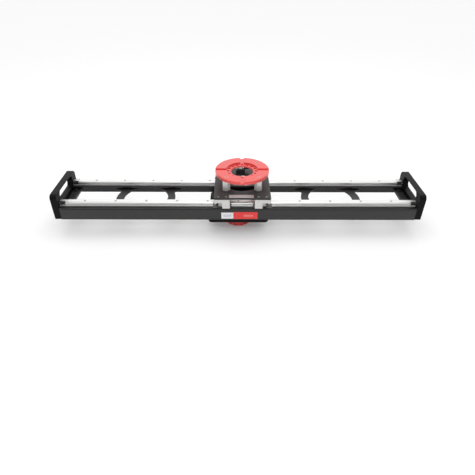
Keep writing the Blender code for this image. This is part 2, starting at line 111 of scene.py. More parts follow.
# Carriage
BIG_HEAD, SMALL_HEAD = 0.0042, 0.0036  # countersunk screws that hold the trucks
TRUCK_HEIGHT = 0.0113
LEVER_HUB = 0.016
SHOE_SHOULDER = 0.0665  # above the beams' underside
SHOE_LIFT = 0.0005

# Wheels
WHEEL_ROOT = 0.0062
BEARING_RADIUS = 0.0050
AXLE_RADIUS = 0.0025


def middle(node):
    low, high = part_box(node)
    return (low + high) / 2


REAR_LOW, REAR_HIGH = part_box("rear_beam")
HALF_WIDTH, FLANGE_INNER, BEAM_END = REAR_HIGH.y, REAR_LOW.y, REAR_HIGH.x
BEAM_BOTTOM, BEAM_TOP = REAR_LOW.z, REAR_HIGH.z
RAIL_Y = middle("rear_rail_body").y
RAIL_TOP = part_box("rear_rail_body")[1].z
ROD = middle("rear_outer_rod")
ROD_OFFSET = ROD.y - RAIL_Y
ROD_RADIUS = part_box("rear_outer_rod")[1].y - ROD.y
ROD_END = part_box("rear_outer_rod")[1].x
BUMPER_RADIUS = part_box("bumper_rear_outer_right")[1].y - ROD.y
CARRIAGE = middle("top_mount_disc")
PLATE_LOW, PLATE_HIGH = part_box("carriage_plate")


# Shapes


def along(axis, u, v, w):
    """The point w along the axis and (u, v) across it, in X, Y, Z order."""
    return {"X": (w, u, v), "Y": (u, w, v), "Z": (u, v, w)}[axis]


def circle(radius, count, centre=(0.0, 0.0)):
    turns = [2 * math.pi * i / count for i in range(count)]
    return [(centre[0] + radius * math.cos(a), centre[1] + radius * math.sin(a)) for a in turns]


def hexagon(radius, count):
    """A hexagon with as many points as a circle that it is lofted to; radius is to its flats."""
    outline = []
    for i in range(count):
        turn = 2 * math.pi * i / count
        reach = radius / math.cos((turn % (math.pi / 3)) - math.pi / 6)
        outline.append((reach * math.cos(turn), reach * math.sin(turn)))
    return outline


def arc(centre, radius, start, end, steps):
    """Points on an arc; the angles are in degrees."""
    turns = [math.radians(start + (end - start) * i / steps) for i in range(steps + 1)]
    return [(centre[0] + radius * math.cos(a), centre[1] + radius * math.sin(a)) for a in turns]


def filleted(outline, radii, steps=4):
    """The outline with each corner rounded by its own radius; 0 leaves it sharp."""
    made = []
    count = len(outline)
    for i, radius in enumerate(radii):
        corner = Vector(outline[i])
        arms = [Vector(outline[(i + step) % count]) - corner for step in (-1, 1)]
        reach = min(radius, *(0.45 * arm.length for arm in arms))
        if reach <= 0:
            made.append(tuple(corner))
            continue
        start, end = (corner + arm.normalized() * reach for arm in arms)
        for t in (k / steps for k in range(steps + 1)):
            made.append(tuple((1 - t) ** 2 * start + 2 * t * (1 - t) * corner + t * t * end))
    return made


def rounded_rectangle(half_u, half_v, corner, steps=8, centre=(0.0, 0.0)):
    outline = []
    for turn, (u, v) in enumerate(((1, -1), (1, 1), (-1, 1), (-1, -1))):
        middle_of_arc = (centre[0] + u * (half_u - corner), centre[1] + v * (half_v - corner))
        outline += arc(middle_of_arc, corner, 90 * turn - 90, 90 * turn, steps)
    return outline


def loft(rings, closed=False):
    """A skin through rings of equal numbers of points: flat ends, or the last ring joined to the first."""
    bm = bmesh.new()
    rows = [[bm.verts.new(point) for point in ring] for ring in rings]
    pairs = zip(rows, rows[1:] + rows[:1]) if closed else zip(rows, rows[1:])
    for low, high in pairs:
        for i in range(len(low)):
            j = (i + 1) % len(low)
            bm.faces.new((low[i], low[j], high[j], high[i]))
    if not closed:
        bm.faces.new(rows[0])
        bm.faces.new(rows[-1])
    bmesh.ops.recalc_face_normals(bm, faces=bm.faces)
    return bm


def prism(outline, low, high, axis="Z"):
    return loft([[along(axis, u, v, w) for u, v in outline] for w in (low, high)])


def slab(low, high, corner=0.0, steps=4):
    """A plate on its back: a rounded rectangle from the low corner to the high one."""
    centre = ((low[0] + high[0]) / 2, (low[1] + high[1]) / 2)
    half = ((high[0] - low[0]) / 2, (high[1] - low[1]) / 2)
    if corner:
        outline = rounded_rectangle(*half, corner, steps, centre)
    else:
        signs = ((-1, -1), (1, -1), (1, 1), (-1, 1))
        outline = [(centre[0] + u * half[0], centre[1] + v * half[1]) for u, v in signs]
    return prism(outline, low[2], high[2])


def turned(profile, count, axis="Z"):
    """A solid of revolution; the profile is (radius, height) from one end to the other."""
    rings = [[along(axis, u, v, height) for u, v in circle(radius, count)] for radius, height in profile]
    return loft(rings)


def turned_ring(profile, count):
    """A ring of revolution about an open bore; the profile is a closed loop of (radius, height)."""
    return stacked([(circle(radius, count), height) for radius, height in profile], closed=True)


def stacked(levels, centre=(0.0, 0.0, 0.0), closed=False):
    """A solid through level outlines, given as (outline, height) about the centre."""
    x, y, z = centre
    return loft([[(x + u, y + v, z + height) for u, v in outline] for outline, height in levels], closed)


def moved(bm, place):
    bmesh.ops.translate(bm, vec=place, verts=bm.verts)
    return bm


def joined(*parts):
    """One bmesh out of several."""
    made = bmesh.new()
    for part in parts:
        mesh = bpy.data.meshes.new("part")
        part.to_mesh(mesh)
        part.free()
        made.from_mesh(mesh)
        bpy.data.meshes.remove(mesh)
    return made


def facing(spots, height, direction=UP):
    """Spots for copies: each (x, y) at the height, all pointing one way."""
    return [((x, y, height), direction) for x, y in spots]


def copies(template, spots):
    """The template at each (place, direction of its Z); each copy is turned a little further."""
    mesh = bpy.data.meshes.new("template")
    template.to_mesh(mesh)
    template.free()
    made = bmesh.new()
    for number, (place, direction) in enumerate(spots):
        turn = Vector(UP).rotation_difference(Vector(direction)).to_matrix().to_4x4()
        spin = Matrix.Rotation(number * COPY_TURN, 4, "Z")
        first = len(made.verts)
        made.from_mesh(mesh)
        made.verts.ensure_lookup_table()
        bmesh.ops.transform(made, matrix=Matrix.Translation(place) @ turn @ spin, verts=made.verts[first:])
    bpy.data.meshes.remove(mesh)
    return made


def screw(radius, height, shank, length, sunk=False, count=24):
    """A socket screw with the top of its head at 0, pointing up: a cap head, or a countersunk one."""
    edge = 0.08 * radius
    socket = hexagon(0.50 * radius, count)
    depth = 0.55 * radius if sunk else 0.60 * height
    rings = [(hexagon(0.10 * radius, count), -depth - 0.12 * radius), (socket, -depth), (socket, -edge / 2)]
    rings += [(hexagon(0.56 * radius, count), 0.0)]
    brim = -edge - 0.0002 if sunk else -height
    neck = brim - (radius - shank) if sunk else brim
    sides = ((radius - edge, 0.0), (radius, -edge), (radius, brim), (shank, neck), (shank, -height - length))
    return stacked(rings + [(circle(reach, count), z) for reach, z in sides])


def sunk_bore(radius, shank, length, count=32):
    """The cutter that leaves room for a countersunk screw, its mouth at 0."""
    profile = [(radius + 0.0012, 0.001), (radius + 0.0002, 0.0), (radius + 0.0002, -0.0004)]
    profile += [(shank + 0.0002, -0.0004 - (radius - shank)), (shank + 0.0002, -length)]
    return turned(profile, count)


# Pieces


def obj_of(name, bm):
    mesh = bpy.data.meshes.new(name)
    bm.to_mesh(mesh)
    bm.free()
    obj = bpy.data.objects.new(name, mesh)
    bpy.context.scene.collection.objects.link(obj)
    return obj


def settle(obj):
    """Writes the object's modifiers into its mesh."""
    graph = bpy.context.evaluated_depsgraph_get()
    mesh = bpy.data.meshes.new_from_object(obj.evaluated_get(graph))
    obj.modifiers.clear()
    obj.data = mesh


def cut(obj, *cutters, operation="DIFFERENCE"):
    """Takes each bmesh from the object, or joins it on."""
    for cutter in cutters:
        helper = obj_of(f"{obj.name}.cutter", cutter)
        modifier = obj.modifiers.new("cut", "BOOLEAN")
        modifier.object, modifier.operation, modifier.solver = helper, operation, "EXACT"
        settle(obj)
        bpy.data.objects.remove(helper)


def soften(obj, width, segments=3, angle=30):
    """Rounds the edges and keeps the flats flat in the shading."""
    modifier = obj.modifiers.new("edges", "BEVEL")
    modifier.width, modifier.segments, modifier.limit_method = width, segments, "ANGLE"
    modifier.angle_limit = math.radians(angle)
    modifier.miter_outer = "MITER_ARC"
    modifier.harden_normals = True
    obj.data.shade_smooth()
    settle(obj)


def flatten(obj):
    """Gives flat faces flat normals again after a cut into a softened piece."""
    custom = obj.data.attributes.get("custom_normal")
    if custom:
        obj.data.attributes.remove(custom)
    shade(obj, 50)
    modifier = obj.modifiers.new("flats", "WEIGHTED_NORMAL")
    modifier.keep_sharp, modifier.weight = True, 100
    settle(obj)


def shade(obj, angle=32):
    obj.data.shade_smooth()
    obj.data.set_sharp_from_angle(angle=math.radians(angle))


def dress(obj, finish, body):
    """Gives the piece its material and the body that it rides on."""
    obj.data.name = obj.name
    obj.data.materials.clear()
    obj.data.materials.append(finish)
    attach(obj, body)
    return obj


def extra(name, bm, finish, body, angle=32):
    """A piece that the CAD has no node for."""
    obj = obj_of(name, bm)
    shade(obj, angle)
    return dress(obj, finish, body)


def steel(name, bm, finish, body="base"):
    """Screws, nuts, washers and other small steel parts."""
    return extra(name, bm, finish, body)


def stand_in(node, obj, finish):
    """The piece takes the CAD node's place: the node is hidden and the piece rides on the node's body."""
    original = frame["nodes"][node]
    body = original["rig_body"]
    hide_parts(node)
    return dress(obj, finish, body)


# Materials


class Tree:
    """A short way to write the nodes of one material."""

    def __init__(self, name):
        self.material = bpy.data.materials.new(name)
        self.material.use_nodes = True
        self.nodes = self.material.node_tree.nodes
        self.shader = self.nodes["Principled BSDF"]
        self.coordinates = self.nodes.new("ShaderNodeTexCoord").outputs["Object"]

    def link(self, source, target):
        self.material.node_tree.links.new(source, target)

    def node(self, kind, inputs=(), **settings):
        made = self.nodes.new(kind)
        for key, value in settings.items():
            setattr(made, key, value)
        for key, value in dict(inputs).items():
            if isinstance(value, bpy.types.NodeSocket):
                self.link(value, made.inputs[key])
            else:
                made.inputs[key].default_value = value
        return made

    def noise(self, scale, stretch=(1, 1, 1), detail=3.0):
        """Noise whose cells are 1/scale metres, drawn out where the stretch is small."""
        placed = self.node("ShaderNodeMapping", {"Vector": self.coordinates, "Scale": stretch})
        inputs = {"Vector": placed.outputs["Vector"], "Scale": scale, "Detail": detail, "Roughness": 0.55}
        return self.node("ShaderNodeTexNoise", inputs).outputs["Fac"]

    def ranged(self, value, low, high, to_low, to_high):
        inputs = {"Value": value, "From Min": low, "From Max": high, "To Min": to_low, "To Max": to_high}
        return self.node("ShaderNodeMapRange", inputs).outputs["Result"]

    def maths(self, operation, a, b):
        return self.node("ShaderNodeMath", {0: a, 1: b}, operation=operation).outputs[0]

    def mixed(self, factor, a, b):
        """A colour between a and b."""
        made = self.node("ShaderNodeMix", data_type="RGBA")
        for index, value in ((0, factor), (6, a), (7, b)):
            if isinstance(value, bpy.types.NodeSocket):
                self.link(value, made.inputs[index])
            else:
                made.inputs[index].default_value = (*value, 1.0) if index else value
        return made.outputs[2]

    def edges(self, reach):
        """1 on sharp edges, 0 on flats."""
        bevelled = self.node("ShaderNodeBevel", {"Radius": reach}, samples=4).outputs["Normal"]
        normal = self.node("ShaderNodeNewGeometry").outputs["Normal"]
        dot = self.node("ShaderNodeVectorMath", {0: bevelled, 1: normal}, operation="DOT_PRODUCT")
        return self.ranged(dot.outputs["Value"], 0.985, 0.80, 0.0, 1.0)


def tint(colour, factor):
    return tuple(min(1.0, channel * factor) for channel in colour)


def surface(name, colour, roughness, metallic=0.0, drawn=None, spread=0.12, grain=1400, bump=0.00002,
            wear=None, coat=0.0, specular=0.5):
    """A finished surface: broad tone changes, grain or drawn lines, uneven gloss, and worn edges."""
    tree = Tree(name)
    cloud = tree.noise(28, detail=4.0)
    fine = tree.noise(grain)
    lines = tree.noise(900, drawn, detail=2.0) if drawn else tree.noise(260)
    tone = tree.maths("ADD", tree.maths("MULTIPLY", cloud, 0.6), tree.maths("MULTIPLY", lines, 0.4))
    low, high = tint(colour, 1 - spread), tint(colour, 1 + spread)
    base = tree.mixed(tree.ranged(tone, 0.32, 0.68, 0.0, 1.0), low, high)
    rough = tree.ranged(tree.maths("ADD", tone, tree.maths("MULTIPLY", fine, 0.25)), 0.45, 0.85,
                        roughness * 0.84, min(1.0, roughness * 1.18))
    if wear:
        worn = tree.maths("MULTIPLY", tree.edges(0.0007), tree.ranged(tree.noise(420), 0.42, 0.62, 0.15, 0.8))
        base = tree.mixed(worn, base, wear)
    tree.link(base, tree.shader.inputs["Base Color"])
    tree.link(rough, tree.shader.inputs["Roughness"])
    height = tree.maths("ADD", fine, tree.maths("MULTIPLY", lines, 1.5 if drawn else 0.5))
    relief = tree.node("ShaderNodeBump", {"Strength": 0.6, "Distance": bump, "Height": height})
    tree.link(relief.outputs["Normal"], tree.shader.inputs["Normal"])
    tree.shader.inputs["Metallic"].default_value = metallic
    tree.shader.inputs["Coat Weight"].default_value = coat
    tree.shader.inputs["Coat Roughness"].default_value = 0.3
    tree.shader.inputs["Specular IOR Level"].default_value = specular
    tree.material.diffuse_color = (*colour, 1.0)
    return tree.material


ALONG_X = (0.01, 1, 1)
BLACK = surface("black_extrusion", (0.012, 0.012, 0.0125), 0.36, drawn=ALONG_X, spread=0.22,
                wear=(0.05, 0.05, 0.05), specular=0.55)
MACHINED = surface("black_machined", (0.005, 0.005, 0.0052), 0.42, spread=0.25, wear=(0.03, 0.03, 0.03),
                   specular=0.10)
DARK = surface("dark_machined", (0.026, 0.0235, 0.024), 0.42, spread=0.18, wear=(0.10, 0.10, 0.10),
               specular=0.4)
SILVER = surface("silver_extrusion", (0.86, 0.855, 0.845), 0.42, 0.95, drawn=ALONG_X, spread=0.03,
                 bump=0.000002)
SATIN = surface("silver_machined", (0.62, 0.615, 0.605), 0.40, 0.7, spread=0.05, bump=0.000008,
                wear=(0.80, 0.80, 0.79))
STEEL = surface("ground_steel", (0.86, 0.86, 0.85), 0.34, 1.0, drawn=ALONG_X, spread=0.02, bump=0.000001)
BRIGHT = surface("bright_steel", (0.72, 0.72, 0.71), 0.28, 1.0, spread=0.06, bump=0.00001)
# Grey steel. On the rail screws its darkness is partly the screws' own steel and partly painted shade of
# their counterbores.
GREY_STEEL = surface("grey_steel", (0.36, 0.36, 0.355), 0.36, 0.8, spread=0.08, bump=0.00001)
BLACK_STEEL = surface("blackened_steel", (0.016, 0.016, 0.0165), 0.36, 0.3, spread=0.2,
                      wear=(0.10, 0.10, 0.10), specular=0.4)
RED = surface("red_anodised", (0.80, 0.060, 0.052), 0.34, 0.25, spread=0.05, wear=(0.95, 0.40, 0.34),
              coat=0.7)
# Screw heads coloured salmon: red with a painted sheen, the reflection of the bright surround put into the
# colour.
RED_WITH_PAINTED_SHEEN = surface("red_screw", (0.80, 0.36, 0.33), 0.34, 0.5, spread=0.05, coat=0.8)
RUBBER = surface("rubber", (0.016, 0.016, 0.016), 0.78, spread=0.25, grain=900, bump=0.00005)
# Nylon tyres, coloured dark grey as painted shade: the shade under the truck bars is put into the tyres'
# colour.
SHADE_DARKENED_NYLON = surface("nylon", (0.13, 0.13, 0.127), 0.40, spread=0.08)
TURNED = surface("silver_turned", (0.82, 0.815, 0.80), 0.38, 0.6, spread=0.04, bump=0.000008,
                 wear=(0.92, 0.92, 0.91))
PALE_RED = surface("pale_red_enamel", (0.88, 0.17, 0.15), 0.30, spread=0.05, coat=0.4, bump=0.000008)
PALE_GREY = surface("pale_grey_enamel", (0.66, 0.65, 0.72), 0.30, spread=0.04, coat=0.4, bump=0.000008)
PLASTIC = surface("moulded_plastic", (0.018, 0.018, 0.019), 0.48, spread=0.2, grain=1100, bump=0.00004)
WHITE_LABEL = surface("white_enamel", (0.86, 0.86, 0.89), 0.30, spread=0.02, coat=0.4, bump=0.000008)
RED_LABEL = surface("red_enamel", (0.84, 0.018, 0.016), 0.30, spread=0.05, coat=0.4, bump=0.000008)


# Beams and rails


def beam(side, name):
    """An extruded angle: a wide flange over a thin web, with a shadow groove near the top of its face."""
    web, flange = HALF_WIDTH - WEB_THICKNESS, BEAM_TOP - FLANGE_THICKNESS
    low, high = BEAM_BOTTOM + GROOVE_LOW, BEAM_BOTTOM + GROOVE_HIGH
    inset = HALF_WIDTH - GROOVE_DEPTH
    corners = [((web, BEAM_BOTTOM), 0.0006), ((HALF_WIDTH, BEAM_BOTTOM), 0.0010), ((HALF_WIDTH, low), 0.0003)]
    corners += [((inset, low), 0.0004), ((inset, high), 0.0004), ((HALF_WIDTH, high), 0.0003)]
    corners += [((HALF_WIDTH, BEAM_TOP), 0.0012), ((FLANGE_INNER, BEAM_TOP), 0.0008)]
    corners += [((FLANGE_INNER, flange), 0.0008), ((web, flange), 0.0030)]
    outline = filleted([point for point, _ in corners], [radius for _, radius in corners], 5)
    outline = [(side * y, z) for y, z in outline]
    obj = obj_of(f"{name}_beam_extrusion", prism(outline, -BEAM_END, BEAM_END, "X"))
    shade(obj, 25)
    stand_in(f"{name}_beam", obj, BLACK)


def rail_outline():
    """The rail's section about its middle: thin base, foot, cradles for the rods, flat cap."""
    cradle, rise = ROD_RADIUS + GAP, ROD.z - BEAM_TOP
    foot = math.degrees(math.acos((RAIL_FOOT_HALF - ROD_OFFSET) / cradle))
    cap = math.degrees(math.acos((RAIL_CAP_HALF - ROD_OFFSET) / cradle))
    lip = RAIL_BASE_THICKNESS
    base_edge = [(RAIL_BASE_HALF, GAP), (RAIL_BASE_HALF, lip), (RAIL_FOOT_HALF, lip)]
    half = filleted(base_edge, [0, 0.0004, 0.0008]) + arc((ROD_OFFSET, rise), cradle, -foot, cap - 360, 20)
    half += filleted([(RAIL_CAP_HALF, RAIL_TOP - BEAM_TOP - 0.0026), (RAIL_CAP_HALF, RAIL_TOP - BEAM_TOP),
                      (0.0, RAIL_TOP - BEAM_TOP)], [0, 0.0011, 0])[1:-1]
    return half + [(-y, z) for y, z in reversed(half)]


def clear_of_bumper(y, z):
    """The point pushed out of the space that a bumper takes."""
    for rod in (-1, 1):
        offset = Vector((y - rod * ROD_OFFSET, z - (ROD.z - BEAM_TOP)))
        if offset.length < BUMPER_RADIUS + GAP:
            offset *= (BUMPER_RADIUS + GAP) / offset.length
            return rod * ROD_OFFSET + offset.x, ROD.z - BEAM_TOP + offset.y
    return y, z


def rail_screw_spots(side):
    first = -RAIL_SCREW_PITCH * (RAIL_SCREWS - 1) / 2
    return [(first + i * RAIL_SCREW_PITCH, side * RAIL_Y) for i in range(RAIL_SCREWS)]


def hex_nut():
    """A small nut, its chamfered face at 0, with the end of its screw in it."""
    levels = [(hexagon(radius, 24), z) for radius, z in ((0.0034, 0.0), (0.0036, 0.0003), (0.0036, 0.0020))]
    screw_end = ((0.0021, 0.0020), (0.0021, 0.0026), (0.0017, 0.0028))
    return stacked(levels + [(circle(radius, 24), z) for radius, z in screw_end])


def rail(side, name):
    """The rail body with counterbored screws, its two ground rods, and the nuts under the flange."""
    middle_part = rail_outline()
    end_part = [clear_of_bumper(*point) for point in middle_part]
    start = ROD_END - GAP
    rings = ((end_part, -BEAM_END), (end_part, -start), (middle_part, -start))
    rings += tuple((outline, -x) for outline, x in reversed(rings))
    obj = obj_of(f"{name}_rail_extrusion", loft([[(x, side * RAIL_Y + y, BEAM_TOP + z) for y, z in outline]
                                                 for outline, x in rings]))
    bore = turned([(COUNTERBORE + 0.0008, 0.0005), (COUNTERBORE, -0.0003), (COUNTERBORE, -0.0032)], 28)
    cut(obj, copies(bore, facing(rail_screw_spots(side), RAIL_TOP)))
    shade(obj, 28)
    stand_in(f"{name}_rail_body", obj, SILVER)
    heads = facing(rail_screw_spots(side), RAIL_TOP - 0.0004)
    # The heads' grey steel is partly their own colour and partly painted shade of their counterbores.
    steel(f"{name}_rail_screws", copies(screw(0.0029, 0.0024, 0.0017, 0.0010), heads), GREY_STEEL)
    under = facing(rail_screw_spots(side), BEAM_TOP - FLANGE_THICKNESS, DOWN)
    steel(f"{name}_rail_nuts", copies(hex_nut(), under), BRIGHT)
    for rod_name in ("inner", "outer"):
        rod(f"{name}_{rod_name}_rod")


def rod(node):
    """A ground steel rod with chamfered ends."""
    centre, reach = middle(node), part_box(node)[1].x
    chamfer = ((0.0010, 0.0), (0.0003, 0.0005), (0.0, 0.0013))
    profile = [(ROD_RADIUS - depth, -reach + x) for depth, x in chamfer]
    profile += [(radius, -height) for radius, height in reversed(profile)]
    obj = obj_of(f"{node}_ground", moved(turned(profile, 56, "X"), centre))
    shade(obj)
    stand_in(node, obj, STEEL)


def bumper(node, end):
    """A ribbed rubber buffer, and the steel washer between it and the end plate."""
    low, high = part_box(node)
    centre = (low + high) / 2
    inner, outer = sorted((low.x, high.x), key=abs)
    washer, neck, ribs = 0.0035, BUMPER_RADIUS - 0.0013, 3
    bulge = ((0.86, 0.0), (0.95, 0.12), (1.0, 0.32), (1.0, 0.68), (0.95, 0.88), (0.86, 1.0))
    length = abs(outer - inner) - washer
    step = length / (2 * ribs - 1)
    profile = []
    for i in range(2 * ribs - 1):
        start, stop = i * step, (i + 1) * step
        if i % 2 == 0:
            profile += [(BUMPER_RADIUS * k, start + t * step) for k, t in bulge]
        else:
            profile += [(neck, start + 0.15 * step), (neck, stop - 0.15 * step)]
    rings = [[(inner + end * x, centre.y + u, centre.z + v) for u, v in circle(r, 40)] for r, x in profile]
    obj = obj_of(f"{node}_ribbed", loft(rings))
    shade(obj, 50)
    stand_in(node, obj, RUBBER)
    face = [(0.0045, 0.0), (0.0050, 0.0004), (0.0050, 0.0016), (0.0034, 0.0016), (0.0034, washer - 0.0002)]
    return loft([[(inner + end * (length + x), centre.y + u, centre.z + v) for u, v in circle(r, 32)]
                 for r, x in face])


def bumpers():
    for end, end_name in ENDS:
        washers = [bumper(f"bumper_{side_name}_{rod_name}_{end_name}", end) for _, side_name in SIDES
                   for rod_name in ("inner", "outer")]
        steel(f"bumper_washers_{end_name}", joined(*washers), BRIGHT)


# Ends, cross plates and bowl rings


def slot_ring(x, top):
    """The handle slot's outline at this x, its floor fixed and its top as given."""
    radius = (SLOT_TOP - SLOT_FLOOR) / 2
    outline = arc((SLOT_HALF - radius, SLOT_FLOOR + radius), radius, -90, 90, 16)
    outline += arc((radius - SLOT_HALF, SLOT_FLOOR + radius), radius, 90, 270, 16)
    stretch = (top - SLOT_FLOOR) / (SLOT_TOP - SLOT_FLOOR)
    return [(x, y, BEAM_BOTTOM + SLOT_FLOOR + (z - SLOT_FLOOR) * stretch) for y, z in outline]


def end_screw_spots():
    """Screws of an end plate, as (y, z): into the flanges, the webs and the cross plate."""
    upper, lower = BEAM_TOP - 0.003, BEAM_BOTTOM + 0.0265
    spots = [(0.0580, upper), (0.0790, upper), (0.0460, lower), (0.0700, lower)]
    return [(sign * y, z) for sign in (-1, 1) for y, z in spots]


def end_plate(end, name):
    """A thick machined plate whose upper part is a handle, with countersunk screws in its outer face."""
    node = f"{name}_end_plate"
    low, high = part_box(node)
    outer, inner = (high.x, low.x) if end > 0 else (-low.x, -high.x)
    top = high.z - BEAM_BOTTOM
    foot = 0.004
    outline = arc((HALF_WIDTH - foot, foot), foot, -90, 0, 4)
    outline += arc((HALF_WIDTH - END_CORNER, top - END_CORNER), END_CORNER, 0, 90, 14)
    outline += arc((END_CORNER - HALF_WIDTH, top - END_CORNER), END_CORNER, 90, 180, 14)
    outline += arc((foot - HALF_WIDTH, foot), foot, 180, 270, 4)
    outline = [(y, BEAM_BOTTOM + z) for y, z in outline]
    obj = obj_of(f"{node}_machined", prism(outline, *sorted((end * inner, end * outer)), "X"))
    throat, past = outer - SLOT_FLARE + 0.003, inner - 0.002
    reach = SLOT_TOP + SLOT_FLARE * (throat - past) / (throat - inner)
    rings = [(outer + 0.002, SLOT_TOP), (throat, SLOT_TOP), (past, reach)]
    cut(obj, loft([slot_ring(end * x, slot_top) for x, slot_top in rings]))
    soften(obj, 0.0013, 3, 40)
    spots = [((end * outer, y, z), (end, 0, 0)) for y, z in end_screw_spots()]
    cut(obj, copies(sunk_bore(0.0042, 0.0020, 0.010), spots))
    flatten(obj)
    stand_in(node, obj, MACHINED)
    spots = [((end * (outer - 0.0002), y, z), (end, 0, 0)) for y, z in end_screw_spots()]
    steel(f"{name}_end_screws", copies(screw(0.0041, 0.0, 0.0020, 0.009, sunk=True), spots), BLACK_STEEL)


def cross_plate(name):
    """Ties the beams together under their flanges, with a cap screw near each beam."""
    node = f"{name}_cross_plate"
    low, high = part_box(node)
    obj = obj_of(f"{node}_machined", slab(low, high))
    soften(obj, 0.0008, 3)
    stand_in(node, obj, DARK)
    spots = [(((low.x + high.x) / 2, sign * 0.0430, high.z + 0.0062), UP) for sign in (-1, 1)]
    washer = turned([(0.0080, -0.0062), (0.0080, -0.0052), (0.0076, -0.0049), (0.0050, -0.0049)], 40)
    heads = copies(joined(screw(0.0063, 0.0050, 0.0040, 0.0006), washer), spots)
    steel(f"{name}_cross_screws", heads, BLACK_STEEL)


def ring_outline(steps):
    """The bowl ring's outer edge: a circle that flares out where it meets the beams."""
    reach, radius, flare_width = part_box("left_bowl_ring")[1].y, 0.100, 0.034
    right = []
    for i in range(steps + 1):
        y = -reach + 2 * reach * i / steps
        flare = max(0.0, min(1.0, (abs(y) - 0.036) / 0.020))
        right.append((math.sqrt(radius**2 - y * y) + flare_width * flare**2, y))
    return right + [(-x, y) for x, y in reversed(right)]


def bowl_ring(name):
    """A flat machined ring, screwed up to the flanges through four spacers."""
    node = f"{name}_bowl_ring"
    centre, (low, high) = middle(node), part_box(node)
    plate = moved(prism(ring_outline(96), low.z, high.z), (centre.x, 0, 0))
    obj = obj_of(f"{node}_machined", plate)
    hole = [(RING_HOLE, low.z - 0.002), (RING_HOLE, high.z - 0.0015), (RING_HOLE + 0.003, high.z + 0.0015)]
    cut(obj, moved(turned(hole, 160), (centre.x, 0, 0)))
    soften(obj, 0.0005, 2, 35)
    spots = [(centre.x + x, y) for x in (-0.075, 0.075) for y in (-0.0785, 0.0785)]
    cut(obj, copies(sunk_bore(0.0042, 0.0020, 0.008), facing(spots, low.z, DOWN)))
    flatten(obj)
    stand_in(node, obj, DARK)
    sunk = facing(spots, low.z + 0.0002, DOWN)
    steel(f"{name}_ring_screws", copies(screw(0.0041, 0.0, 0.0019, 0.008, sunk=True), sunk), BLACK_STEEL)
    rise = BEAM_TOP - FLANGE_THICKNESS - high.z
    profile = [(0.0022, 0.0), (0.0040, 0.0), (0.0044, 0.0004), (0.0044, rise - 0.0004), (0.0040, rise)]
    profile += [(0.0022, rise)]
    spacers = copies(turned_ring(profile, 32), facing(spots, high.z))
    extra(f"{name}_ring_spacers", spacers, SATIN, "base")


# The mounting plate, stud and nut


def mount_plate():
    """The plate under the beams, its countersunk screws and the angle brackets that they pull on."""
    node = "centre_mount_plate"
    low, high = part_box(node)
    obj = obj_of(f"{node}_machined", slab(low, high, 0.012, 10))
    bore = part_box("mount_stud")[1].x * 0.5 + GAP
    cut(obj, turned([(bore, low.z - 0.005), (bore, high.z + 0.005)], 64))
    soften(obj, 0.0010, 3, 40)
    screw_x, screw_y = 0.084, 0.0745
    spots = [(x, y) for x in (-screw_x, screw_x) for y in (-screw_y, screw_y)]
    cut(obj, copies(sunk_bore(0.0052, 0.0026, 0.011), facing(spots, low.z, DOWN)))
    flatten(obj)
    stand_in(node, obj, MACHINED)
    sunk = facing(spots, low.z + 0.0002, DOWN)
    steel("mount_plate_screws", copies(screw(0.0050, 0.0, 0.0024, 0.009, sunk=True), sunk), BLACK_STEEL)
    web = HALF_WIDTH - WEB_THICKNESS
    thick, toe, tall, back = 0.0045, 0.0655, 0.019, web - GAP
    corners = [(toe, 0.0), (back, 0.0), (back, tall), (web - thick, tall), (web - thick, thick), (toe, thick)]
    section = filleted(corners, [0.0005, 0.0005, 0.0010, 0.0010, 0.0020, 0.0010])
    brackets = []
    for side, _ in SIDES:
        outline = [(side * y, high.z + GAP + z) for y, z in section]
        for end, _ in ENDS:
            brackets.append(prism(outline, *sorted((end * 0.073, end * 0.095)), "X"))
    extra("mount_brackets", joined(*brackets), BLACK, "base")
    cap = screw(0.0034, 0.0030, 0.0018, 0.0010)
    spots = [((end * screw_x, side * (web - 0.0075), high.z + 0.0125), (0, -side, 0)) for side, _ in SIDES
             for end, _ in ENDS]
    steel("mount_bracket_screws", copies(cap, spots), BLACK_STEEL)


def mount_stud():
    """A flat-headed stud with a cut thread below the plate."""
    node = "mount_stud"
    low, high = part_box(node)
    turns_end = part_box("centre_mount_plate")[0].z
    radius, pitch, depth, count = high.x * 0.5, 0.0030, 0.0011, 48
    rings = [[(u, v, low.z) for u, v in circle(radius - 0.0022, count)]]
    steps = round((turns_end - low.z - 0.001) / pitch * 8)
    for step in range(steps + 1):
        z = low.z + 0.001 + step * pitch / 8
        ring = []
        for i in range(count):
            phase = (z / pitch - i / count) % 1.0
            ridge = abs(2 * phase - 1)
            lead = min(1.0, (z - low.z) / 0.003)
            r = radius - 0.0002 - depth * (ridge * lead + (1 - lead))
            turn = 2 * math.pi * i / count
            ring.append((r * math.cos(turn), r * math.sin(turn), z))
        rings.append(ring)
    neck = [(radius, turns_end + 0.0003), (radius, high.z - 0.007), (high.x - 0.0006, high.z - 0.007)]
    neck += [(high.x, high.z - 0.0064), (high.x, high.z - 0.0022), (high.x - 0.0018, high.z)]
    rings += [[(u, v, z) for u, v in circle(r, count)] for r, z in neck]
    rings += [[(u, v, z) for u, v in hexagon(0.0072, count)] for z in (high.z, high.z - 0.0042)]
    obj = obj_of(f"{node}_threaded", loft(rings))
    shade(obj, 30)
    stand_in(node, obj, BRIGHT)


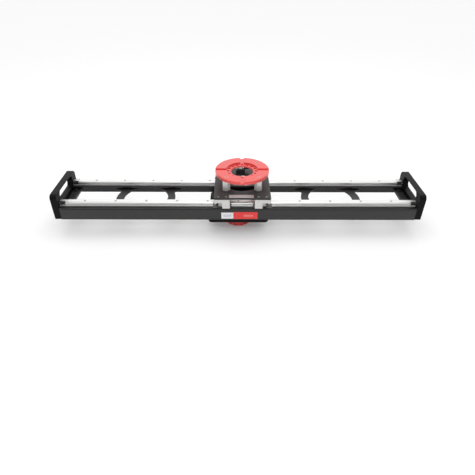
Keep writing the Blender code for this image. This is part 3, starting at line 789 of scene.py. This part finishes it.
def tie_down_nut():
    """A large round hand nut with finger scallops, a stepped rim and a hub."""
    node = "tie_down_nut"
    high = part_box(node)[1]
    radius, height, scallops, each = high.x, high.z, 12, 20
    count = scallops * each

    def outline(scale, dip_scale=1.0):
        ring = []
        for i in range(count):
            angle = 2 * math.pi * i / count
            dip = max(0.0, math.cos(scallops * angle)) ** 2
            reach = radius * scale - 0.0022 * dip * dip_scale
            ring.append((reach * math.cos(angle), reach * math.sin(angle)))
        return ring

    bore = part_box("mount_stud")[1].x * 0.5 + GAP
    levels = [(outline(0.955), 0.0), (outline(0.985), 0.0007), (outline(1.0), 0.0022)]
    levels += [(outline(1.0), height - 0.0022), (outline(0.985), height - 0.0007), (outline(0.955), height)]
    sunk = ((0.85, 0.0), (0.83, 0.0010), (0.46, 0.0010), (0.44, 0.0))
    levels += [(outline(scale, 0.0), height - depth) for scale, depth in sunk]
    levels += [(circle(bore + 0.0015, count), height), (circle(bore, count), height - 0.0015)]
    levels += [(circle(bore, count), 0.0015), (circle(bore + 0.0015, count), 0.0)]
    levels += [(outline(scale, 0.0), depth) for scale, depth in reversed(sunk)]
    obj = obj_of(f"{node}_scalloped", stacked(levels, closed=True))
    shade(obj, 32)
    stand_in(node, obj, RED)


def badge(node, finish, trim, trim_name, trim_finish):
    """A thin enamelled plate with rounded corners and a plain raised bar."""
    low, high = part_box(node)
    centre, half = (low + high) / 2, (high - low) / 2
    outline = rounded_rectangle(half.x, half.z, 0.0010, 6, (centre.x, centre.z))
    obj = obj_of(f"{node}_enamelled", prism(outline, low.y + 0.0001, high.y, "Y"))
    soften(obj, 0.00025, 2, 40)
    stand_in(node, obj, finish)
    (left, right, bottom, top), corner = trim, 0.0008
    bar_centre = (low.x + (left + right) / 2 * 2 * half.x, low.z + (bottom + top) / 2 * 2 * half.z)
    bar = rounded_rectangle((right - left) * half.x, (top - bottom) * half.z, corner, 6, bar_centre)
    raised = obj_of(trim_name, prism(bar, low.y, low.y + 0.0003, "Y"))
    shade(raised)
    dress(raised, trim_finish, "base")


# The carriage


def carriage_screw_spots():
    """Screws that hold the trucks, as (x, y, head radius)."""
    found = []
    for side, _ in SIDES:
        for reach, radius in ((0.0515, BIG_HEAD), (0.0770, SMALL_HEAD)):
            found += [(CARRIAGE.x + sign * reach, side * 0.0968, radius) for sign in (-1, 1)]
    return found


def posts():
    """Where the four pillars stand, as (x, y)."""
    return [middle(f"standoff_{side_name}_{end_name}").xy for _, side_name in SIDES for _, end_name in ENDS]


def carriage_plate():
    """The carriage's plate with its middle hole and countersunk screws."""
    node = "carriage_plate"
    low, high = PLATE_LOW, PLATE_HIGH
    obj = obj_of(f"{node}_machined", slab(low, high, 0.004, 8))
    hole = [(PLATE_HOLE, low.z - 0.002), (PLATE_HOLE, high.z - 0.0012)]
    hole += [(PLATE_HOLE + 0.0024, high.z + 0.0012)]
    brake = middle("brake_pad")
    lever_hole = turned([(0.0045, low.z - 0.002), (0.0045, high.z + 0.002)], 40)
    lever_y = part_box("brake_lever")[0].y + LEVER_HUB
    cut(obj, moved(turned(hole, 160), (CARRIAGE.x, 0, 0)), moved(lever_hole, (brake.x, lever_y, 0)))
    soften(obj, 0.0008, 3, 35)
    bores = []
    for head, shank in ((BIG_HEAD, 0.0022), (SMALL_HEAD, 0.0018)):
        spots = [((x, y, high.z), UP) for x, y, radius in carriage_screw_spots() if radius == head]
        bores.append(copies(sunk_bore(head, shank, 0.006), spots))
    under = facing(posts(), low.z, DOWN)
    cut(obj, *bores, copies(sunk_bore(0.0056, 0.0030, 0.006), under))
    flatten(obj)
    stand_in(node, obj, DARK)
    heads = []
    for x, y, radius in carriage_screw_spots():
        head = screw(radius - 0.0001, 0.0, 0.0018, 0.004, sunk=True)
        heads.append(copies(head, [((x, y, high.z - 0.0001), UP)]))
    steel("carriage_plate_screws", joined(*heads), GREY_STEEL, "carriage")
    sunk = facing(posts(), low.z + 0.0002, DOWN)
    screws = copies(screw(0.0055, 0.0, 0.0028, 0.005, sunk=True), sunk)
    steel("standoff_screws", screws, BLACK_STEEL, "carriage")


def truck(node, end, side):
    """A machined bar for two axles, with a guard that hangs in front of the inner wheel."""
    low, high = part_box(node)
    names = [f"wheel_{node.split('_')[1]}_{number}" for number in ((1, 2) if end < 0 else (3, 4))]
    bar_low = PLATE_LOW.z - GAP - TRUCK_HEIGHT
    obj = obj_of(f"{node}_machined", slab((low.x, low.y, bar_low), high, 0.0015, 4))
    width, thick, top = 0.0245, 0.0035, high.z - 0.004
    inner, outer = (low.x, low.x + width) if end > 0 else (high.x - width, high.x)
    face = (low.y, low.y + thick) if side < 0 else (high.y - thick, high.y)
    centre = ((outer + inner) / 2, (top + low.z) / 2)
    guard = rounded_rectangle((outer - inner) / 2, (top - low.z) / 2, 0.0012, 4, centre)
    cut(obj, prism(guard, *face, "Y"), operation="UNION")
    holes = [((middle(name).x, middle(name).y, bar_low - 0.002), UP) for name in names]
    cut(obj, copies(turned([(AXLE_RADIUS + GAP, 0.0), (AXLE_RADIUS + GAP, 0.02)], 32), holes))
    soften(obj, 0.0006, 3, 40)
    stand_in(node, obj, SATIN)


def wheel(node):
    """A V-groove tyre on a shielded ball bearing."""
    low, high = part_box(node)
    centre, radius, half = (low + high) / 2, (high.x - low.x) / 2, (high.z - low.z) / 2
    edge = 0.0003
    profile = [(BEARING_RADIUS, -half + 0.0006), (BEARING_RADIUS + 0.0004, -half + edge)]
    profile += [(BEARING_RADIUS + 0.0008, -half), (radius - edge, -half), (radius, -half + edge)]
    profile += [(radius, -half + 0.0006), (WHEEL_ROOT + 0.0003, -0.0005), (WHEEL_ROOT, -0.0002)]
    profile += [(r, -z) for r, z in reversed(profile)]
    obj = obj_of(f"{node}_tyre", moved(turned_ring(profile, 72), centre))
    shade(obj, 30)
    # The tyre's dark grey is painted shade of the truck bars above it.
    body = stand_in(node, obj, SHADE_DARKENED_NYLON)["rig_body"]
    face, shield, bore = half - 0.0010, half - 0.0013, AXLE_RADIUS + 0.0001
    race = [(bore, -face), (0.0034, -face), (0.0035, -shield), (0.0043, -shield), (0.0044, -face)]
    race += [(BEARING_RADIUS - 0.00005, -face)]
    race += [(r, -z) for r, z in reversed(race)]
    steel(f"{node}_bearing", moved(turned_ring(race, 48), centre), BRIGHT, body)


def axle(node):
    """A shoulder bolt: socket head under the wheel, shank, and a collar below the truck."""
    low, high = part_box(node)
    centre = (low + high) / 2
    half = 0.0045 + GAP
    under = PLATE_LOW.z - GAP - TRUCK_HEIGHT - ROD.z - GAP
    count = 36
    rings = [(hexagon(0.0020, count), -half - 0.0010), (hexagon(0.0020, count), -half - 0.0034)]
    head, collar, chamfer = 0.0042, 0.0045, 0.0004
    profile = [(0.0034, -half - 0.0035), (head, -half - 0.0029), (head, -half), (AXLE_RADIUS, -half)]
    profile += [(AXLE_RADIUS, half), (collar - chamfer, half), (collar, half + chamfer)]
    profile += [(collar, under - chamfer), (collar - chamfer, under), (AXLE_RADIUS, under)]
    profile += [(AXLE_RADIUS, high.z - ROD.z)]
    rings += [(circle(radius, count), z) for radius, z in profile]
    obj = obj_of(f"{node}_turned", stacked(rings, (centre.x, centre.y, ROD.z)))
    shade(obj, 30)
    stand_in(node, obj, BRIGHT)


def standoff(node):
    """A turned pillar with a fine groove near each end."""
    low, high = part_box(node)
    centre, radius = (low + high) / 2, (high.x - low.x) / 2
    steps = ((0.0010, 0.0), (0.0003, 0.0004), (0.0, 0.0011), (0.0, 0.0030))
    steps += ((0.00035, 0.0033), (0.00035, 0.0037), (0.0, 0.0040))
    half = [(radius - depth, low.z + height) for depth, height in steps]
    profile = half + [(r, low.z + high.z - z) for r, z in reversed(half)]
    obj = obj_of(f"{node}_turned", moved(turned(profile, 80), (centre.x, centre.y, 0)))
    shade(obj, 30)
    stand_in(node, obj, TURNED)


def keyway(direction, top):
    """The cutter of a keyway with chamfered mouth, running out along the direction."""
    half, floor = KEYWAY_WIDTH / 2, top - KEYWAY_DEPTH
    section = [(-half, floor), (half, floor), (half, top - 0.0006), (half + 0.0016, top + 0.0010)]
    section += [(-half - 0.0016, top + 0.0010), (-half, top - 0.0006)]
    cutter = prism(section, RECESS_RADIUS - 0.006, CARRIAGE.x + 0.2, "X")
    turn = Matrix.Rotation(math.atan2(direction[1], direction[0]), 4, "Z")
    place = Matrix.Translation((CARRIAGE.x, CARRIAGE.y, 0)) @ turn
    bmesh.ops.transform(cutter, matrix=place, verts=cutter.verts)
    return cutter


def head_plate():
    """The red head plate: stepped recess, ring of pin holes, keyways and screws into the pillars."""
    node = "top_mount_disc"
    low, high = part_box(node)
    radius, bottom, top = (high.x - low.x) / 2, low.z, high.z
    floor, edge, count = top - RECESS_DEPTH, 0.0008, 192
    profile = [(radius - edge, bottom), (radius, bottom + edge), (radius, top - edge), (radius - edge, top)]
    profile += [(RECESS_RADIUS + 0.0005, top), (RECESS_RADIUS, top - 0.0005), (RECESS_RADIUS, floor + 0.0006)]
    profile += [(RECESS_RADIUS - 0.0006, floor), (DISC_HOLE + 0.0026, floor), (DISC_HOLE, floor - 0.0026)]
    profile += [(DISC_HOLE, bottom + edge), (DISC_HOLE + edge, bottom)]
    obj = obj_of(f"{node}_machined", moved(turned_ring(profile, count), (CARRIAGE.x, CARRIAGE.y, 0)))
    mouth = ((0.0006, 0.0004), (0.0003, 0.0), (0.0, -0.0004), (0.0, -0.02))
    pin = turned([(PITCH_HOLE_RADIUS + flare, z) for flare, z in mouth], 32)
    turns = [2 * math.pi * i / PITCH_HOLES for i in range(PITCH_HOLES)]
    pins = [((CARRIAGE.x + PITCH_RADIUS * math.cos(a), CARRIAGE.y + PITCH_RADIUS * math.sin(a), floor), UP)
            for a in turns]
    sinks = facing(posts(), top)
    keyways = [keyway(direction, top) for direction in ((1, 0), (0, 1), (-1, 0), (0, -1))]
    cut(obj, copies(pin, pins), joined(*keyways), copies(sunk_bore(0.0060, 0.0031, 0.02), sinks))
    shade(obj, 28)
    stand_in(node, obj, RED)
    heads = facing(posts(), top - 0.0004)
    screws = copies(screw(0.0058, 0.0, 0.0029, 0.012, sunk=True), heads)
    # Salmon heads: red with a painted sheen.
    steel("head_plate_screws", screws, RED_WITH_PAINTED_SHEEN, "carriage")


def name_plate():
    """A blank label: a bevelled plate with a sunk field and a rivet at each end."""
    node = "name_plate"
    low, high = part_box(node)
    obj = obj_of(f"{node}_plain", slab(low, (high.x, high.y, high.z - 0.0003), 0.0016, 6))
    inset_x, inset_y = 0.0085, 0.0018
    field = slab((low.x + inset_x, low.y + inset_y, high.z - 0.0007),
                 (high.x - inset_x, high.y - inset_y, high.z + 0.001), 0.0010, 6)
    cut(obj, field)
    soften(obj, 0.0002, 2, 40)
    stand_in(node, obj, SATIN)
    dome = [(0.0024, 0.0), (0.0023, 0.0003), (0.0018, 0.0006), (0.0010, 0.00075), (0.0003, 0.0008)]
    rise = high.z - 0.0003 - 0.0005
    spots = [((x, (low.y + high.y) / 2, rise), UP) for x in (low.x + 0.0043, high.x - 0.0043)]
    steel("name_plate_rivets", copies(turned(dome, 28), spots), BRIGHT, "carriage")


def ribbed(radius, teeth, depth, each=4):
    """A circle with fine ribs."""
    count = teeth * each
    outline = []
    for i in range(count):
        turn = 2 * math.pi * i / count
        reach = radius - depth * (0.5 - 0.5 * math.cos(teeth * turn))
        outline.append((reach * math.cos(turn), reach * math.sin(turn)))
    return outline


def brake_lever():
    """The clamping lever: a ribbed hub, a swept arm with a ball, and its screw."""
    node = "brake_lever"
    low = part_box(node)[0]
    x, y = low.x + LEVER_HUB, low.y + LEVER_HUB
    base, rib = PLATE_HIGH.z + GAP, 0.0006
    profile = [(0.0145, 0.0, 0.0), (0.0156, 0.0, 0.0006), (LEVER_HUB, rib, 0.0014), (LEVER_HUB, rib, 0.0080)]
    profile += [(0.0154, 0.0, 0.0091), (0.0140, 0.0, 0.0102), (0.0125, 0.0, 0.0116), (0.0112, 0.0, 0.0130)]
    profile += [(0.0062, 0.0, 0.0138), (0.0058, 0.0, 0.0112)]
    levels = [(ribbed(radius, 36, depth), base + height) for radius, depth, height in profile]
    obj = obj_of(f"{node}_moulded", stacked(levels))
    steps = 12
    rings = []
    for i in range(steps + 1):
        t = i / steps
        reach, half = 0.006 + 0.0175 * t, 0.0052 - 0.0017 * t
        rise = 0.0078 + 0.0047 * t * t * (3 - 2 * t)
        rings.append([(reach, u, base + rise + v * 0.8) for u, v in circle(half, 32)])
    ball = bmesh.new()
    bmesh.ops.create_uvsphere(ball, u_segments=40, v_segments=24, radius=0.0055)
    cut(obj, loft(rings), moved(ball, (0.0250, 0.0, base + 0.0125)), operation="UNION")
    obj.data.transform(Matrix.Translation((x, y, 0)) @ Matrix.Rotation(math.radians(20), 4, "Z"))
    shade(obj, 34)
    stand_in(node, obj, PLASTIC)
    head = screw(0.0052, 0.0030, 0.0038, base + 0.0138 - low.z - 0.0030)
    steel("brake_screw", copies(head, [((x, y, base + 0.0143), UP)]), BRIGHT, "brake_lever")


def brake_pad():
    """The shoe that the lever's screw presses on the rear rail."""
    node = "brake_pad"
    low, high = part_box(node)
    obj = obj_of(f"{node}_moulded", slab(low, high, 0.0015, 4))
    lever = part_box("brake_lever")[0]
    socket = turned([(0.0047, RAIL_TOP + 0.0057), (0.0047, high.z + 0.003)], 32)
    cut(obj, moved(socket, (lever.x + LEVER_HUB, lever.y + LEVER_HUB, 0)))
    groove = Vector((0.0004, 0.02, 0.0004))
    for t in (0.2, 0.4, 0.6, 0.8):
        place = (low.x + (high.x - low.x) * t, (low.y + high.y) / 2, low.z + 0.0018)
        cut(obj, moved(slab(-groove, groove), place))
    soften(obj, 0.0004, 2, 40)
    stand_in(node, obj, RUBBER)


def drag_unit():
    """The drag block, its knurled thumb screw and the shoe on the front rail."""
    low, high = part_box("drag_block")
    obj = obj_of("drag_block_machined", slab(low, high, 0.0015, 4))
    knob_low, knob_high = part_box("drag_knob")
    knob = (knob_low + knob_high) / 2
    pad_low, pad_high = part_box("drag_pad")
    pad = (pad_low + pad_high) / 2
    screw_bore = prism(circle(0.0033, 32, (knob.y, knob.z)), low.x - 0.005, knob_high.x + GAP, "X")
    shoe_bore = prism(circle(0.0034, 32, (pad.x, pad.y)), low.z - 0.003, pad_high.z + SHOE_LIFT + GAP)
    cut(obj, screw_bore, shoe_bore)
    soften(obj, 0.0006, 3, 40)
    stand_in("drag_block", obj, MACHINED)

    start, end = PLATE_LOW.x - GAP, knob_low.x
    radius, knurl = 0.0080, 0.0005
    profile = [(0.0030, 0.0, knob_high.x), (0.0030, 0.0, start), (0.0062, 0.0, start)]
    profile += [(0.0070, 0.0, start - 0.0006), (radius, knurl, start - 0.0010)]
    profile += [(radius, knurl, end + 0.0012), (0.0072, 0.0, end + 0.0003)]
    profile += [(0.0066, 0.0, end), (0.0048, 0.0, end), (0.0044, 0.0, end + 0.0006)]
    rings = [[(x, knob.y + u, knob.z + v) for u, v in ribbed(r, 40, depth)] for r, depth, x in profile]
    obj = obj_of("drag_knob_knurled", loft(rings))
    shade(obj, 30)
    stand_in("drag_knob", obj, PLASTIC)

    shoulder = BEAM_BOTTOM + SHOE_SHOULDER
    obj = obj_of("drag_pad_moulded", slab(pad_low, (pad_high.x, pad_high.y, shoulder), 0.0012, 4))
    stem = turned([(0.0030, shoulder - 0.002), (0.0030, pad_high.z - 0.0005), (0.0026, pad_high.z)], 32)
    cut(obj, moved(stem, (pad.x, pad.y, 0)), operation="UNION")
    soften(obj, 0.0003, 2, 40)
    stand_in("drag_pad", obj, RUBBER)


# Studio


def studio():
    """A wide pale floor, a surround that brightens towards the back, and soft lights."""
    ground = bmesh.new()
    bmesh.ops.create_grid(ground, x_segments=4, y_segments=4, size=30.0)
    floor = obj_of("floor", ground)
    tree = Tree("pale_floor")
    tree.shader.inputs["Base Color"].default_value = (0.88, 0.88, 0.88, 1.0)
    tree.shader.inputs["Roughness"].default_value = 0.9
    tree.shader.inputs["Emission Color"].default_value = (1.0, 1.0, 1.0, 1.0)
    tree.shader.inputs["Emission Strength"].default_value = 0.14
    floor.data.materials.append(tree.material)

    world = bpy.data.worlds.new("surround")
    world.use_nodes = True
    nodes, links = world.node_tree.nodes, world.node_tree.links
    nodes["Background"].inputs["Color"].default_value = (1.0, 1.0, 1.0, 1.0)
    direction = nodes.new("ShaderNodeTexCoord").outputs["Generated"]
    lean = nodes.new("ShaderNodeVectorMath")
    lean.operation = "DOT_PRODUCT"
    lean.inputs[1].default_value = SKY_LEAN
    ramp = nodes.new("ShaderNodeMapRange")
    for key, value in zip(("From Min", "From Max", "To Min", "To Max"), SKY_RANGE):
        ramp.inputs[key].default_value = value
    links.new(direction, lean.inputs[0])
    links.new(lean.outputs["Value"], ramp.inputs["Value"])
    links.new(ramp.outputs["Result"], nodes["Background"].inputs["Strength"])
    bpy.context.scene.world = world

    lamp("front_softbox", (0.0, -1.9, 1.9), (0.0, -0.30, 0.0), (0.5, 0.4), 1.2, 60)
    lamp("top_softbox", (0.0, 0.6, 2.6), (0.0, 0.0, 0.1), (2.8, 1.2), 10.0, 180)


def lamp(name, place, aim, size, power, spread):
    data = bpy.data.lights.new(name, "AREA")
    data.shape, data.size, data.size_y, data.energy = "RECTANGLE", *size, power
    data.spread = math.radians(spread)
    light = bpy.data.objects.new(name, data)
    light.location = place
    light.rotation_euler = (Vector(aim) - Vector(place)).to_track_quat("-Z", "Y").to_euler()
    bpy.context.scene.collection.objects.link(light)


def camera():
    data = bpy.data.cameras.new("camera")
    data.lens, data.sensor_width, data.clip_end = CAMERA_LENS, 36.0, 100.0
    obj = bpy.data.objects.new("camera", data)
    turn = Matrix.Rotation(-CAMERA_YAW, 4, "Z") @ Matrix.Rotation(math.pi / 2 - CAMERA_DOWN, 4, "X")
    obj.matrix_world = Matrix.Translation(CAMERA_PLACE) @ turn @ Matrix.Rotation(CAMERA_ROLL, 4, "Z")
    bpy.context.scene.collection.objects.link(obj)
    bpy.context.scene.camera = obj
    bpy.context.scene.view_settings.view_transform = "Standard"


def base():
    for side, name in SIDES:
        beam(side, name)
        rail(side, name)
    bumpers()
    for end, name in ENDS:
        end_plate(end, name)
        cross_plate(name)
        bowl_ring(name)
    mount_plate()
    mount_stud()
    tie_down_nut()
    badge("badge_white", WHITE_LABEL, (0.16, 0.84, 0.30, 0.70), "badge_white_bar", PALE_GREY)
    badge("badge_red", RED_LABEL, (0.42, 0.82, 0.34, 0.62), "badge_red_bar", PALE_RED)


def carriage():
    carriage_plate()
    for side, side_name in SIDES:
        for end, end_name in ENDS:
            truck(f"truck_{side_name}_{end_name}", end, side)
            standoff(f"standoff_{side_name}_{end_name}")
        for number in range(1, 5):
            wheel(f"wheel_{side_name}_{number}")
            axle(f"axle_{side_name}_{number}")
    head_plate()
    name_plate()
    brake_lever()
    brake_pad()
    drag_unit()


base()
carriage()
studio()
camera()
